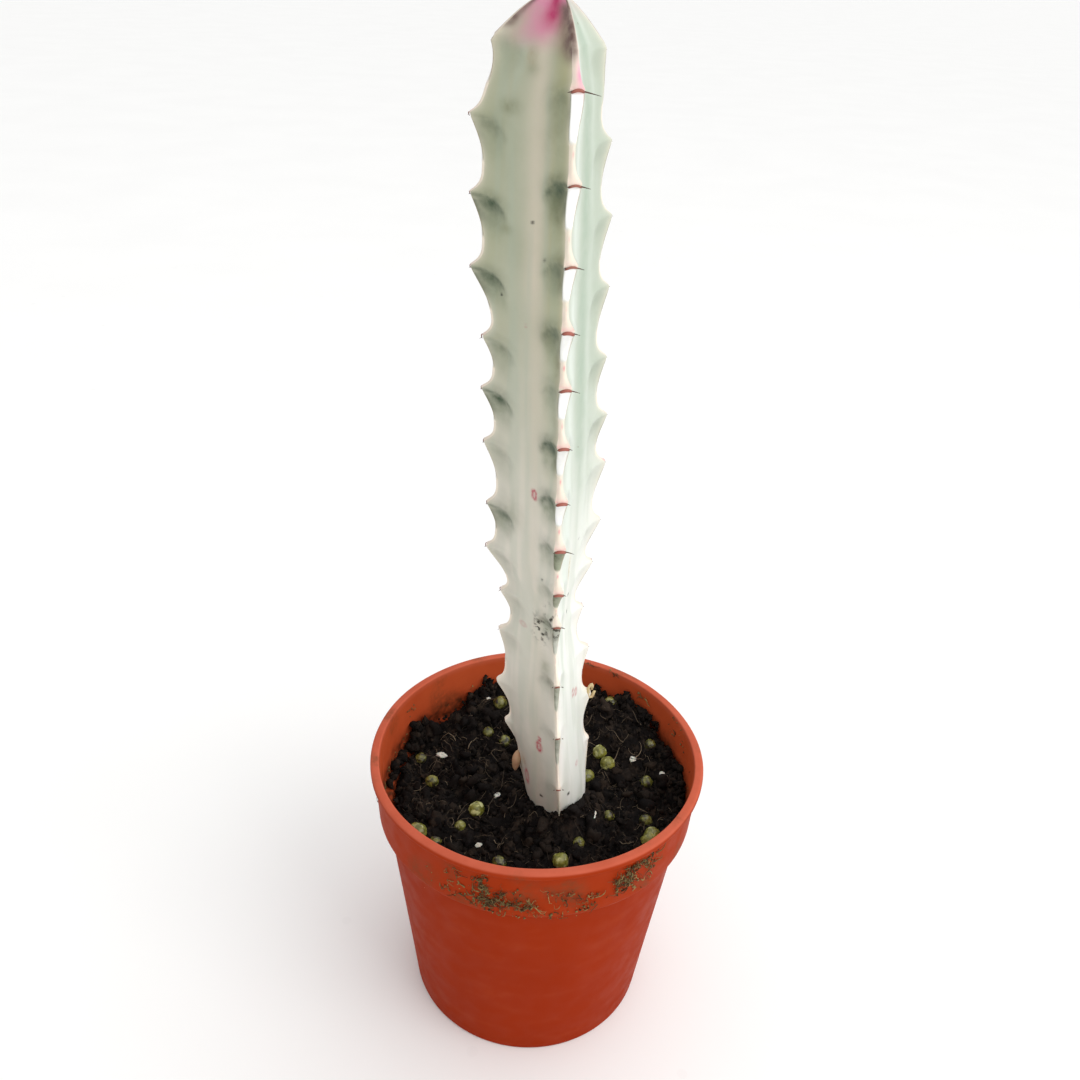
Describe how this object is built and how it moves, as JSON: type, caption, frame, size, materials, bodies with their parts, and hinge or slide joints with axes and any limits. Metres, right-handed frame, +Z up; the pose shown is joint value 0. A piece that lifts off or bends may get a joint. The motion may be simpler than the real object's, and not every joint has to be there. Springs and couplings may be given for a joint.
{
  "type": "potted euphorbia",
  "caption": "Ribbed ghost-white euphorbia cutting with toothed ribs and a pink tip, in a small round terracotta-coloured nursery pot of peat soil.",
  "frame": {"origin": "centre of the pot's underside, on the surface it stands on", "axes": "+Z up through the pot's axis, -Y towards the viewer, +X to the viewer's right"},
  "size_m": [0.055, 0.055, 0.1621],
  "materials": {
    "terracotta_plastic": "satin moulded plastic, terracotta orange-brown",
    "peat_soil": "moist near-black peat, fibrous",
    "stem_skin": "waxy pale grey-green and cream skin with dark green marks, pink tip",
    "fertiliser_prill": "glossy resin-coated yellow-green beads",
    "perlite": "matt white expanded mineral"
  },
  "bodies": {
    "root": {"pot": "terracotta_plastic", "soil": "peat_soil", "stem": "stem_skin", "prill_01": "fertiliser_prill", "prill_02": "fertiliser_prill", "prill_03": "fertiliser_prill", "prill_04": "fertiliser_prill", "prill_05": "fertiliser_prill", "prill_06": "fertiliser_prill", "prill_07": "fertiliser_prill", "prill_08": "fertiliser_prill", "prill_09": "fertiliser_prill", "prill_10": "fertiliser_prill", "prill_11": "fertiliser_prill", "prill_12": "fertiliser_prill", "prill_13": "fertiliser_prill", "prill_14": "fertiliser_prill", "prill_15": "fertiliser_prill", "prill_16": "fertiliser_prill", "prill_17": "fertiliser_prill", "prill_18": "fertiliser_prill", "prill_19": "fertiliser_prill", "prill_20": "fertiliser_prill", "prill_21": "fertiliser_prill", "perlite_01": "perlite", "perlite_02": "perlite", "perlite_03": "perlite", "perlite_04": "perlite", "perlite_05": "perlite", "perlite_06": "perlite", "perlite_07": "perlite", "perlite_08": "perlite"}
  },
  "joints": []
}
